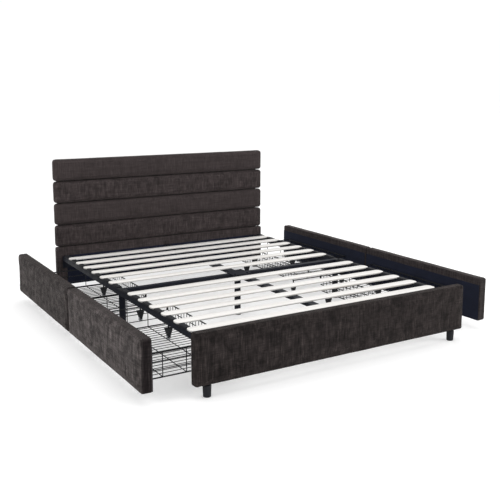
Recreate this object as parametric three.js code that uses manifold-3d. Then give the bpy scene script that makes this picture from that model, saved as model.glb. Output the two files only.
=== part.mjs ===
// Platform bed with four storage drawers, queen size, in millimetres.
// +Z is up, +Y points from the foot to the head, and +X to the right seen from the foot.
// The origin is on the floor under the middle of the bed, with all four drawers a quarter of a metre open.
import * as THREE from "three";
import { RoundedBoxGeometry } from "three/addons/geometries/RoundedBoxGeometry.js";
import { mergeVertices } from "three/addons/utils/BufferGeometryUtils.js";
import Module from "manifold-3d";

// Overall
const HALF_LENGTH = 1078;
const FIT_GAP = 0.3;
const FOOT_X = 771;

// Headboard
const HEAD_WIDTH = 1640;
const HEAD_TOP = 923;
const CHANNEL_COUNT = 4;
const CHANNEL_HEIGHT = 149.7;
const CHANNEL_DEPTH = 46;
const BACK_BOARD_DEPTH = 15.7;
const BACK_BOARD_SIDE_INSET = 38;
const BACK_BOARD_TOP_INSET = 5;
const HEAD_BOTTOM = 62;
const HEAD_FRONT_Y = HALF_LENGTH - BACK_BOARD_DEPTH - FIT_GAP - CHANNEL_DEPTH;
const LOWER_PANEL_DEPTH = 44;
const LOWER_BORDER = 70;
const LOWER_TOP_BORDER = 60;
const LINING_THICKNESS = 2;

// Upholstered footboard and drawer fronts
const FRONT_BOTTOM = 57;
const FRONT_TOP = 315;
const FOOTBOARD_WIDTH = 1686;
const FOOTBOARD_DEPTH = 48;
const UPHOLSTERY_RADIUS = 9;
const FABRIC_RETURN = 42;
const INNER_BOARD_DEPTH = 13;

// Steel frame
const RAIL_OUTER_X = 782;
const RAIL_WIDTH = 36;
const RAIL_HEIGHT = 28;
const RAIL_TOP = 261;
const BEAM_TOP = 265.2;
const BEAM_WIDTH = 44;
const BEAM_HEIGHT = 20;
const TUBE_WALL = 2;
const CROSS_BEAM_Y = -10;
const CROSS_BEAM_WIDTH = 36;
const END_CLEARANCE = 4.6;
const MID_LEG_RADIUS = 19.5;
const MID_LEG_X = 761;
const PLATE_THICKNESS = 4;

// Slats
const SLAT_LENGTH = 1564;
const SLAT_WIDTH = 65;
const SLAT_THICKNESS = 8;
const SLAT_BOTTOM = 265.5;
const SLAT_PITCH = 146.7;
const SLATS_PER_GROUP = 6;
const FIRST_SLAT_Y = 869;
const SLAT_CORNER_RADIUS = 24;
const SPACER_WIDTH = 34;
const SPACER_BLOCK_TOP = 273;

// Drawers, in a drawer's own frame: X runs from the outer face inwards, Y from the end nearer to the basket
const DRAWER_OPEN_X = 1083;
const DRAWER_LENGTH = 1016;
const DRAWER_GAP = 6;
const DRAWER_START_Y = -1026;
const FRONT_DEPTH = 58;
const BASKET_START = 81;
const BASKET_LENGTH = 720;
const BASKET_BACK_X = 505;
const BASKET_BOTTOM = 92;
const BASKET_TOP = 210;
const BASKET_WALL = 4;
const FRAME_WIRE = 7;
const CORNER_TAB = [16, 10, 36];

// Casters: tapered forks under the corners of each basket, with a through axle for each pair
const CASTER_X = [87, 505];
const CASTER_Y = [171, 795];
const CASTER_TOP = [40, 25];
const CASTER_FOOT = [18, 25];
const CASTER_LOW = 6;
const CASTER_HIGH = 62;
const CASTER_STEM = 10;
const WHEEL_RADIUS = 13;
const WHEEL_WIDTH = 10;
const WHEEL_CLEARANCE = 1.5;
const AXLE_RADIUS = 3;
const AXLE_HOLE_RADIUS = 3.8;

const FABRIC = material(0x3b3634, 0.95, 0);
const LINING = material(0x161c28, 0.9, 0);
const STEEL = material(0x171a22, 0.5, 0.6);
const WIRE_PAINT = material(0x101114, 0.45, 0.5);
const WOOD = material(0xefece4, 0.6, 0);
const PLASTIC = material(0x17181b, 0.6, 0);

const wasm = await Module();
wasm.setup();

const bed = new THREE.Group();
bed.name = "platform_bed";

function material(color, roughness, metalness) {
  return new THREE.MeshStandardMaterial({ color, roughness, metalness });
}

function addPart(parent, name, geometry, surface) {
  const mesh = new THREE.Mesh(geometry, surface.clone());
  mesh.name = name;
  parent.add(mesh);
  return mesh;
}

// A closed three.js geometry as a solid that can be joined or cut.
function solidOf(geometry) {
  const plain = new THREE.BufferGeometry();
  plain.setAttribute("position", geometry.getAttribute("position"));
  plain.setIndex(geometry.index);
  const merged = mergeVertices(plain, 1e-3);
  return new wasm.Manifold(
    new wasm.Mesh({
      numProp: 3,
      vertProperties: new Float32Array(merged.getAttribute("position").array),
      triVerts: new Uint32Array(merged.index.array),
    }),
  );
}

function geometryOf(solid) {
  const mesh = solid.getMesh();
  const geometry = new THREE.BufferGeometry();
  geometry.setAttribute("position", new THREE.BufferAttribute(mesh.vertProperties, 3));
  geometry.setIndex(new THREE.BufferAttribute(mesh.triVerts, 1));
  const faceted = geometry.toNonIndexed();
  faceted.computeVertexNormals();
  return faceted;
}

function join(solids) {
  return solids.reduce((whole, piece) => whole.add(piece));
}

// A box given by its low and high corners.
function boxBetween(low, high) {
  const size = high.map((value, i) => value - low[i]);
  const centre = high.map((value, i) => (value + low[i]) / 2);
  return new THREE.BoxGeometry(...size).translate(...centre);
}

function boxSolid(low, high) {
  return solidOf(boxBetween(low, high));
}

// A slab with every edge rounded, given by its low and high corners.
function roundedSlab(low, high, radius) {
  const size = high.map((value, i) => value - low[i]);
  const centre = high.map((value, i) => (value + low[i]) / 2);
  return solidOf(new RoundedBoxGeometry(...size, 2, radius).translate(...centre));
}

// A square-section wire between two points that differ along one axis only.
function wire(from, to, thickness) {
  const low = from.map((value, i) => Math.min(value, to[i]) - thickness / 2);
  const high = from.map((value, i) => Math.max(value, to[i]) + thickness / 2);
  return boxSolid(low, high);
}

// A round leg that stands on the floor and tapers slightly towards it.
function legGeometry(height, topRadius, footRadius) {
  const leg = new THREE.CylinderGeometry(topRadius, footRadius, height, 24);
  return leg.rotateX(Math.PI / 2).translate(0, 0, height / 2);
}

// A rectangular steel tube, open at both ends, along X or Y.
function tubeSolid(low, high, alongAxis) {
  const innerLow = low.map((value, i) => (i === alongAxis ? value - 1 : value + TUBE_WALL));
  const innerHigh = high.map((value, i) => (i === alongAxis ? value + 1 : value - TUBE_WALL));
  return boxSolid(low, high).subtract(boxSolid(innerLow, innerHigh));
}

function addHeadboard() {
  const half = HEAD_WIDTH / 2;
  const padBack = HEAD_FRONT_Y + CHANNEL_DEPTH;
  for (let i = 0; i < CHANNEL_COUNT; i += 1) {
    const top = HEAD_TOP - i * CHANNEL_HEIGHT;
    const bottom = top - CHANNEL_HEIGHT + FIT_GAP;
    const cushion = roundedSlab([-half, HEAD_FRONT_Y, bottom], [half, padBack + 20, top], 20);
    const flatBack = boxSolid([-half - 1, HEAD_FRONT_Y - 1, bottom - 1], [half + 1, padBack, top + 1]);
    const name = "headboard_channel_" + (i + 1);
    addPart(bed, name, geometryOf(cushion.intersect(flatBack)), FABRIC);
  }

  const boardLow = [-half + BACK_BOARD_SIDE_INSET, padBack + FIT_GAP, HEAD_BOTTOM];
  const boardHigh = [half - BACK_BOARD_SIDE_INSET, HALF_LENGTH, HEAD_TOP - BACK_BOARD_TOP_INSET];
  addPart(bed, "headboard_back_board", boxBetween(boardLow, boardHigh), LINING);

  const lowerTop = HEAD_TOP - CHANNEL_COUNT * CHANNEL_HEIGHT;
  const lowerFront = padBack - LOWER_PANEL_DEPTH;
  const panel = roundedSlab([-half, lowerFront, HEAD_BOTTOM], [half, padBack, lowerTop], 6);
  const recessLow = [-half + LOWER_BORDER, lowerFront - 1, HEAD_BOTTOM - 1];
  const recessHigh = [half - LOWER_BORDER, lowerFront + LINING_THICKNESS, lowerTop - LOWER_TOP_BORDER];
  addPart(bed, "headboard_lower_panel", geometryOf(panel.subtract(boxSolid(recessLow, recessHigh))), FABRIC);

  const liningLow = [recessLow[0] + FIT_GAP, lowerFront, HEAD_BOTTOM + FIT_GAP];
  const liningBack = lowerFront + LINING_THICKNESS - FIT_GAP;
  const liningHigh = [recessHigh[0] - FIT_GAP, liningBack, recessHigh[2] - FIT_GAP];
  addPart(bed, "headboard_lower_lining", boxBetween(liningLow, liningHigh), LINING);

  for (const [side, name] of [[-1, "left"], [1, "right"]]) {
    const leg = addPart(bed, "headboard_leg_" + name, legGeometry(HEAD_BOTTOM - FIT_GAP, 21, 19), PLASTIC);
    leg.position.set(side * FOOT_X, padBack - 20, 0);
  }
}

// An upholstered front whose fabric wraps round the edges of a board that closes its inner face.
function wrappedFront(length) {
  const slab = roundedSlab([0, 0, FRONT_BOTTOM], [FRONT_DEPTH, length, FRONT_TOP], UPHOLSTERY_RADIUS);
  return slab.subtract(
    boxSolid(
      [FRONT_DEPTH - INNER_BOARD_DEPTH, FABRIC_RETURN, FRONT_BOTTOM + FABRIC_RETURN],
      [FRONT_DEPTH + 1, length - FABRIC_RETURN, FRONT_TOP - FABRIC_RETURN],
    ),
  );
}

function addFootboard() {
  const half = FOOTBOARD_WIDTH / 2;
  const innerY = -HALF_LENGTH + FOOTBOARD_DEPTH;
  const slab = roundedSlab([-half, -HALF_LENGTH, FRONT_BOTTOM], [half, innerY, FRONT_TOP], UPHOLSTERY_RADIUS);
  const pocketLow = [-half + FABRIC_RETURN, innerY - INNER_BOARD_DEPTH, FRONT_BOTTOM + FABRIC_RETURN];
  const pocketHigh = [half - FABRIC_RETURN, innerY + 1, FRONT_TOP - FABRIC_RETURN];
  addPart(bed, "footboard_pad", geometryOf(slab.subtract(boxSolid(pocketLow, pocketHigh))), FABRIC);

  const boardLow = pocketLow.map((value) => value + FIT_GAP);
  const boardHigh = [pocketHigh[0] - FIT_GAP, innerY - FIT_GAP, pocketHigh[2] - FIT_GAP];
  addPart(bed, "footboard_board", boxBetween(boardLow, boardHigh), LINING);

  for (const [side, name] of [[-1, "left"], [1, "right"]]) {
    const leg = addPart(bed, "footboard_leg_" + name, legGeometry(FRONT_BOTTOM - FIT_GAP, 21, 19), PLASTIC);
    leg.position.set(side * FOOT_X, -HALF_LENGTH + FOOTBOARD_DEPTH - 22, 0);
  }
}

function addSteelFrame() {
  const railBottom = RAIL_TOP - RAIL_HEIGHT;
  const footY = -HALF_LENGTH + FOOTBOARD_DEPTH + END_CLEARANCE;
  const headY = HEAD_FRONT_Y + CHANNEL_DEPTH - LOWER_PANEL_DEPTH - END_CLEARANCE;
  const innerX = RAIL_OUTER_X - RAIL_WIDTH;
  const railX = (RAIL_OUTER_X + innerX) / 2;

  for (const [side, name] of [[-1, "left"], [1, "right"]]) {
    const low = [Math.min(side * RAIL_OUTER_X, side * innerX), footY, railBottom];
    const high = [Math.max(side * RAIL_OUTER_X, side * innerX), headY, RAIL_TOP];
    addPart(bed, "side_rail_" + name, geometryOf(tubeSolid(low, high, 1)), STEEL);

    const leg = addPart(bed, "middle_leg_" + name, midLeg(railBottom - FIT_GAP), STEEL);
    leg.position.set(side * MID_LEG_X, CROSS_BEAM_Y, 0);

    for (const [end, endY, inwards] of [["head", headY, -1], ["foot", footY, 1]]) {
      addPart(bed, "corner_bracket_" + end + "_" + name, cornerBracket(side, endY, inwards), STEEL);
    }
    addPart(bed, "slat_spacer_" + name, spacerStrip(side * railX), PLASTIC);
  }

  const beamBottom = BEAM_TOP - BEAM_HEIGHT;
  const crossLow = [-innerX + FIT_GAP, CROSS_BEAM_Y - CROSS_BEAM_WIDTH / 2, beamBottom];
  const crossHigh = [innerX - FIT_GAP, CROSS_BEAM_Y + CROSS_BEAM_WIDTH / 2, BEAM_TOP];
  addPart(bed, "cross_beam", geometryOf(tubeSolid(crossLow, crossHigh, 0)), STEEL);

  const halfBeam = BEAM_WIDTH / 2;
  const headBeamLow = [-halfBeam, crossHigh[1] + FIT_GAP, beamBottom];
  addPart(bed, "centre_beam_head", geometryOf(tubeSolid(headBeamLow, [halfBeam, headY, BEAM_TOP], 1)), STEEL);
  const footBeamHigh = [halfBeam, crossLow[1] - FIT_GAP, BEAM_TOP];
  const footBeam = tubeSolid([-halfBeam, footY, beamBottom], footBeamHigh, 1);
  addPart(bed, "centre_beam_foot", geometryOf(footBeam), STEEL);

  const plateBottom = BEAM_TOP + FIT_GAP;
  const plate = boxBetween([-62, CROSS_BEAM_Y - 62, plateBottom], [62, CROSS_BEAM_Y + 62, plateBottom + 3]);
  addPart(bed, "junction_plate", plate, STEEL);

  const centreLeg = addPart(bed, "middle_leg_centre", midLeg(beamBottom - FIT_GAP), STEEL);
  centreLeg.position.set(0, CROSS_BEAM_Y, 0);
}

// A straight round leg with a wider foot and a plate that bolts under the steel.
function midLeg(height) {
  const post = solidOf(legGeometry(height, MID_LEG_RADIUS, MID_LEG_RADIUS));
  const foot = solidOf(legGeometry(10, MID_LEG_RADIUS + 3, MID_LEG_RADIUS + 4));
  const plate = boxSolid([-20, -34, height - PLATE_THICKNESS], [20, 34, height]);
  return geometryOf(join([post, foot, plate]));
}

// An angle that holds a rail's end to the headboard or the footboard.
function cornerBracket(side, endY, inwards) {
  const innerX = RAIL_OUTER_X - RAIL_WIDTH - FIT_GAP;
  const panelY = endY - inwards * (PLATE_THICKNESS + FIT_GAP);
  const [x0, x1] = [side * (innerX - 46), side * RAIL_OUTER_X].sort((a, b) => a - b);
  const [y0, y1] = [panelY, panelY + inwards * PLATE_THICKNESS].sort((a, b) => a - b);
  const plate = boxSolid([x0, y0, RAIL_TOP - 80], [x1, y1, RAIL_TOP]);
  const [f0, f1] = [side * (innerX - PLATE_THICKNESS), side * innerX].sort((a, b) => a - b);
  const [g0, g1] = [panelY, panelY + inwards * 100].sort((a, b) => a - b);
  return geometryOf(join([plate, boxSolid([f0, g0, RAIL_TOP - RAIL_HEIGHT], [f1, g1, RAIL_TOP - 4])]));
}

function slatCentres() {
  const centres = [];
  for (let i = 0; i < 2 * SLATS_PER_GROUP; i += 1) {
    const group = Math.floor(i / SLATS_PER_GROUP);
    const step = i % SLATS_PER_GROUP;
    const headSide = FIRST_SLAT_Y - step * SLAT_PITCH;
    const footSide = 2 * CROSS_BEAM_Y - FIRST_SLAT_Y + (SLATS_PER_GROUP - 1 - step) * SLAT_PITCH;
    centres.push(group === 0 ? headSide : footSide);
  }
  return centres;
}

// A strip on the rail with a block in every space between two slats.
function spacerStrip(x) {
  const [halfWidth, halfSpace] = [SPACER_WIDTH / 2, (SLAT_PITCH - SLAT_WIDTH) / 2 - 2];
  const reach = FIRST_SLAT_Y - CROSS_BEAM_Y + SLAT_PITCH / 2 + halfSpace;
  const low = [x - halfWidth, CROSS_BEAM_Y - reach, RAIL_TOP + FIT_GAP];
  const pieces = [boxSolid(low, [x + halfWidth, CROSS_BEAM_Y + reach, SLAT_BOTTOM - FIT_GAP])];
  for (let i = 0; i <= SLATS_PER_GROUP; i += 1) {
    for (const end of [-1, 1]) {
      const y = CROSS_BEAM_Y + end * (FIRST_SLAT_Y - CROSS_BEAM_Y + SLAT_PITCH / 2 - i * SLAT_PITCH);
      const blockLow = [x - halfWidth + 3, y - halfSpace, RAIL_TOP + 1];
      pieces.push(boxSolid(blockLow, [x + halfWidth - 3, y + halfSpace, SPACER_BLOCK_TOP]));
    }
  }
  return geometryOf(join(pieces));
}

function addSlats() {
  const [halfLength, halfWidth, r] = [SLAT_LENGTH / 2, SLAT_WIDTH / 2, SLAT_CORNER_RADIUS];
  const outline = new THREE.Shape();
  outline.moveTo(-halfLength + r, -halfWidth);
  outline.absarc(halfLength - r, -halfWidth + r, r, -Math.PI / 2, 0);
  outline.absarc(halfLength - r, halfWidth - r, r, 0, Math.PI / 2);
  outline.absarc(-halfLength + r, halfWidth - r, r, Math.PI / 2, Math.PI);
  outline.absarc(-halfLength + r, -halfWidth + r, r, Math.PI, 1.5 * Math.PI);
  const shape = new THREE.ExtrudeGeometry(outline, {
    depth: SLAT_THICKNESS,
    bevelEnabled: false,
    curveSegments: 5,
  });
  slatCentres().forEach((y, i) => {
    const number = String(i + 1).padStart(2, "0");
    const slat = addPart(bed, "slat_" + number, shape.clone(), WOOD);
    slat.position.set(0, y, SLAT_BOTTOM);
  });
}

// The tapered fork of one caster, slotted for its wheel and bored for its axle.
function casterFork(x, y) {
  const height = CASTER_HIGH - CASTER_LOW;
  const taper = new THREE.CylinderGeometry(Math.SQRT1_2, Math.SQRT1_2, 1, 4).rotateY(Math.PI / 4);
  const corners = taper.getAttribute("position");
  for (let i = 0; i < corners.count; i += 1) {
    const [width, depth] = corners.getY(i) > 0 ? CASTER_TOP : CASTER_FOOT;
    corners.setXYZ(i, corners.getX(i) * width, corners.getY(i) * height, corners.getZ(i) * depth);
  }
  const fork = solidOf(taper.rotateX(Math.PI / 2).translate(x, y, CASTER_LOW + height / 2));

  const halfSlot = WHEEL_WIDTH / 2 + WHEEL_CLEARANCE;
  const slotTop = 2 * WHEEL_RADIUS + WHEEL_CLEARANCE;
  const slot = boxSolid([x - 30, y - halfSlot, CASTER_LOW - 1], [x + 30, y + halfSlot, slotTop]);
  const bore = new THREE.CylinderGeometry(AXLE_HOLE_RADIUS, AXLE_HOLE_RADIUS, 40, 12);
  bore.translate(x, y, WHEEL_RADIUS);
  const halfStem = CASTER_STEM / 2;
  const stemLow = [x - halfStem, y - halfStem, CASTER_HIGH - 1];
  const stem = boxSolid(stemLow, [x + halfStem, y + halfStem, BASKET_BOTTOM]);
  return fork.subtract(slot).subtract(solidOf(bore)).add(stem);
}

// The basket as an open tray: thin walls in place of the welded mesh, between its real frame wires.
function basketGeometry() {
  const front = FRONT_DEPTH + FIT_GAP + FRAME_WIRE / 2;
  const [back, start, end] = [BASKET_BACK_X, BASKET_START, BASKET_START + BASKET_LENGTH];
  const t = BASKET_WALL / 2;
  const pieces = [boxSolid([front, start, BASKET_BOTTOM - t], [back, end, BASKET_BOTTOM + t])];

  for (const x of [front, back]) {
    pieces.push(boxSolid([x - t, start, BASKET_BOTTOM], [x + t, end, BASKET_TOP]));
    for (const z of [BASKET_BOTTOM, BASKET_TOP]) {
      pieces.push(wire([x, start, z], [x, end, z], FRAME_WIRE));
    }
  }
  for (const y of [start, end]) {
    pieces.push(boxSolid([front, y - t, BASKET_BOTTOM], [back, y + t, BASKET_TOP]));
    for (const z of [BASKET_BOTTOM, BASKET_TOP]) {
      pieces.push(wire([front, y, z], [back, y, z], FRAME_WIRE));
    }
    const tabLow = [back - CORNER_TAB[0] / 2, y - CORNER_TAB[1] / 2, BASKET_TOP - 7 - CORNER_TAB[2]];
    pieces.push(boxSolid(tabLow, tabLow.map((value, i) => value + CORNER_TAB[i])));
  }
  for (const x of CASTER_X) {
    pieces.push(...CASTER_Y.map((y) => casterFork(x, y)));
  }
  return geometryOf(join(pieces));
}

// Two wheels on one through axle along Y, turned as a single closed profile.
function wheelsetGeometry() {
  const middle = (CASTER_Y[1] - CASTER_Y[0]) / 2;
  const [inner, outer] = [middle - WHEEL_WIDTH / 2, middle + WHEEL_WIDTH / 2];
  const axleEnd = middle + CASTER_TOP[1] / 2 + 1;
  const profile = [
    [0, -axleEnd],
    [AXLE_RADIUS, -axleEnd],
    [AXLE_RADIUS, -outer],
    [WHEEL_RADIUS, -outer],
    [WHEEL_RADIUS, -inner],
    [AXLE_RADIUS, -inner],
    [AXLE_RADIUS, inner],
    [WHEEL_RADIUS, inner],
    [WHEEL_RADIUS, outer],
    [AXLE_RADIUS, outer],
    [AXLE_RADIUS, axleEnd],
    [0, axleEnd],
  ];
  const points = profile.map(([radius, along]) => new THREE.Vector2(radius, along));
  return new THREE.LatheGeometry(points, 24);
}

function addDrawer(name, side, startY) {
  const drawer = new THREE.Group();
  drawer.name = "drawer_" + name;
  drawer.position.set(side * DRAWER_OPEN_X, side < 0 ? startY : startY + DRAWER_LENGTH, 0);
  drawer.rotation.z = side < 0 ? 0 : Math.PI;
  bed.add(drawer);

  addPart(drawer, "drawer_pad_" + name, geometryOf(wrappedFront(DRAWER_LENGTH)), FABRIC);
  const rim = FABRIC_RETURN + FIT_GAP;
  const boardLow = [FRONT_DEPTH - INNER_BOARD_DEPTH + FIT_GAP, rim, FRONT_BOTTOM + rim];
  const boardHigh = [FRONT_DEPTH - FIT_GAP, DRAWER_LENGTH - rim, FRONT_TOP - rim];
  addPart(drawer, "drawer_board_" + name, boxBetween(boardLow, boardHigh), LINING);
  addPart(drawer, "drawer_basket_" + name, basketGeometry(), WIRE_PAINT);
  for (const [i, place] of ["outer", "inner"].entries()) {
    const wheels = addPart(drawer, "drawer_wheels_" + place + "_" + name, wheelsetGeometry(), PLASTIC);
    wheels.position.set(CASTER_X[i], (CASTER_Y[0] + CASTER_Y[1]) / 2, WHEEL_RADIUS);
  }
}

addHeadboard();
addFootboard();
addSteelFrame();
addSlats();
const headDrawerY = DRAWER_START_Y + DRAWER_LENGTH + DRAWER_GAP;
addDrawer("foot_left", -1, DRAWER_START_Y);
addDrawer("head_left", -1, headDrawerY);
addDrawer("foot_right", 1, DRAWER_START_Y);
addDrawer("head_right", 1, headDrawerY);

export default bed;
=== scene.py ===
import math

import bmesh
import bpy
from mathutils import Matrix, Vector, noise


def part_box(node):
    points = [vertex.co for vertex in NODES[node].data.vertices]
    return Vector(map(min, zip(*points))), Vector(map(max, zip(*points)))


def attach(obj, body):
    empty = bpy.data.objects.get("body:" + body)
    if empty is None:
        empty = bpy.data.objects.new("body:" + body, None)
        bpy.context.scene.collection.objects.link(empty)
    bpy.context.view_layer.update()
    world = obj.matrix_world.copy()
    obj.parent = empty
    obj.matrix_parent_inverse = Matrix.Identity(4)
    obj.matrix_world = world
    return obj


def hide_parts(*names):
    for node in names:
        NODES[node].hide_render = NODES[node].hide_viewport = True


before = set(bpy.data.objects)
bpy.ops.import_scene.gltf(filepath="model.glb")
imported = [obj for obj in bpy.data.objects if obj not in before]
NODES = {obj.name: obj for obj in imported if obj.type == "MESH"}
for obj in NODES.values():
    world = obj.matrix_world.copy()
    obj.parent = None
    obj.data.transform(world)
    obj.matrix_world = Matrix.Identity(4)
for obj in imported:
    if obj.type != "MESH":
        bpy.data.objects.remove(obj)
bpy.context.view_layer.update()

# Lengths are in metres: X runs across the bed, Y from its foot to its head, and Z up from the floor.

X, Y, Z = range(3)
DRAWERS = ("foot_left", "head_left", "foot_right", "head_right")
SLATS = [f"slat_{k:02d}" for k in range(1, 13)]

# ---------------------------------------------------------------- camera

LENS, SENSOR = 54.56, 36.0
SHIFT = -0.0804
CAMERA_PLACE = (-2.3114, -3.9662, 1.3856)
CAMERA_TURN, CAMERA_PITCH, CAMERA_ROLL = -31.25, 90 - 9.0, 0.11

camera_data = bpy.data.cameras.new("camera")
camera_data.sensor_width = SENSOR
camera_data.lens = LENS
camera_data.shift_y = SHIFT
camera = bpy.data.objects.new("camera", camera_data)
bpy.context.scene.collection.objects.link(camera)
camera.matrix_world = (
    Matrix.Translation(CAMERA_PLACE)
    @ Matrix.Rotation(math.radians(CAMERA_TURN), 4, "Z")
    @ Matrix.Rotation(math.radians(CAMERA_PITCH), 4, "X")
    @ Matrix.Rotation(math.radians(CAMERA_ROLL), 4, "Z")
)
bpy.context.scene.camera = camera


# ---------------------------------------------------------------- node helpers


class Shader:
    """A new material with short calls for its nodes. Settings name the surface's own sockets."""

    def __init__(self, name, **settings):
        self.material = bpy.data.materials.new(name)
        self.material.use_nodes = True
        self.tree = self.material.node_tree
        self.surface = self.tree.nodes["Principled BSDF"]
        for socket, value in settings.items():
            self.surface.inputs[socket.replace("_", " ")].default_value = value
        self.position = self.node("ShaderNodeTexCoord").outputs["Object"]
        self.normal = self.node("ShaderNodeNewGeometry").outputs["Normal"]

    def node(self, kind, **inputs):
        made = self.tree.nodes.new(kind)
        for name, value in inputs.items():
            self.feed(made.inputs[name.replace("_", " ")], value)
        return made

    def feed(self, socket, value):
        if isinstance(value, bpy.types.NodeSocket):
            self.tree.links.new(value, socket)
        else:
            socket.default_value = value

    def math(self, operation, a, b=0.0):
        made = self.tree.nodes.new("ShaderNodeMath")
        made.operation = operation
        self.feed(made.inputs[0], a)
        self.feed(made.inputs[1], b)
        return made.outputs[0]

    def waves(self, length, pitch):
        """A sine along a length, one wave for each pitch."""
        return self.math("SINE", self.math("MULTIPLY", length, 2 * math.pi / pitch))

    def noise(self, x, y, z, detail=2.0, roughness=0.5, distortion=0.0):
        """Noise with its own number of cells per metre along each axis."""
        made = self.node(
            "ShaderNodeTexNoise",
            Vector=self.node("ShaderNodeMapping", Vector=self.position, Scale=(x, y, z)).outputs[0],
            Scale=1.0,
            Detail=detail,
            Roughness=roughness,
            Distortion=distortion,
        )
        return made.outputs[0]

    def ramp(self, factor, *stops):
        """A colour ramp through (position, grey or colour) stops."""
        made = self.node("ShaderNodeValToRGB", Fac=factor)
        elements = made.color_ramp.elements
        while len(elements) < len(stops):
            elements.new(0.5)
        for element, (at, colour) in zip(elements, stops):
            element.position = at
            element.color = (*(colour if isinstance(colour, tuple) else (colour,) * 3), 1.0)
        return made.outputs[0]

    def mix(self, factor, a, b, blend="MIX"):
        made = self.tree.nodes.new("ShaderNodeMix")
        made.data_type = "RGBA"
        made.blend_type = blend
        self.feed(made.inputs[0], factor)
        for socket, value in ((made.inputs[6], a), (made.inputs[7], b)):
            self.feed(socket, (*value, 1.0) if isinstance(value, tuple) else value)
        return made.outputs[2]

    def times(self, base, *layers):
        """The base colour multiplied by each layer in turn."""
        for layer in layers:
            base = self.mix(1.0, base, layer, "MULTIPLY")
        return base

    def colour(self, value):
        self.feed(self.surface.inputs["Base Color"], value)

    def roughness(self, value):
        self.feed(self.surface.inputs["Roughness"], value)

    def bump(self, height, strength, distance):
        made = self.node("ShaderNodeBump", Height=height, Strength=strength, Distance=distance)
        self.feed(self.surface.inputs["Normal"], made.outputs[0])

    def axes(self):
        """The three parts of the position and of the surface's direction."""
        place = self.node("ShaderNodeSeparateXYZ", Vector=self.position).outputs
        facing = self.node("ShaderNodeSeparateXYZ", Vector=self.normal).outputs
        return place, facing


# ---------------------------------------------------------------- materials

# The chenille's tone by place, as linear colours. It is one fabric, painted lighter or darker in each
# place for how the light falls there: painted light and shade. The faces turned to the bed's middle
# and the drawers' ends carry painted shade, the left drawers' ends most, and the drawers' sides a painted
# sheen.
HEAD_TONE = (0.0398, 0.0318, 0.0318)
FOOT_TONE = (0.0203, 0.0162, 0.0157)
INNER_PAINTED_SHADE = (0.0262, 0.0215, 0.0218)
LEFT_END_PAINTED_SHADE = (0.0096, 0.0071, 0.0076)
RIGHT_END_PAINTED_SHADE = (0.0208, 0.0172, 0.0172)
RIGHT_SIDE_TONE = (0.0470, 0.0402, 0.0394)
# Each drawer front's side tone, end tone and how ruffled its pile is. The tones are painted light and
# shade, set for how the light falls on each drawer.
FRONTS = {
    "foot_left": ((0.0495, 0.0424, 0.0416), LEFT_END_PAINTED_SHADE, 1.65),
    "head_left": ((0.0335, 0.0286, 0.0279), LEFT_END_PAINTED_SHADE, 1.95),
    "foot_right": (RIGHT_SIDE_TONE, RIGHT_END_PAINTED_SHADE, 1.65),
    "head_right": (RIGHT_SIDE_TONE, RIGHT_END_PAINTED_SHADE, 1.65),
}
FRONT_MIDDLE = sum(corner.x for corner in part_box("drawer_pad_foot_right")) / 2

WARP_PITCH, WEFT_PITCH = 0.0026, 0.0034
DIMPLE_PITCH = 0.0036
PLY_PITCH = 0.0024


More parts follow.
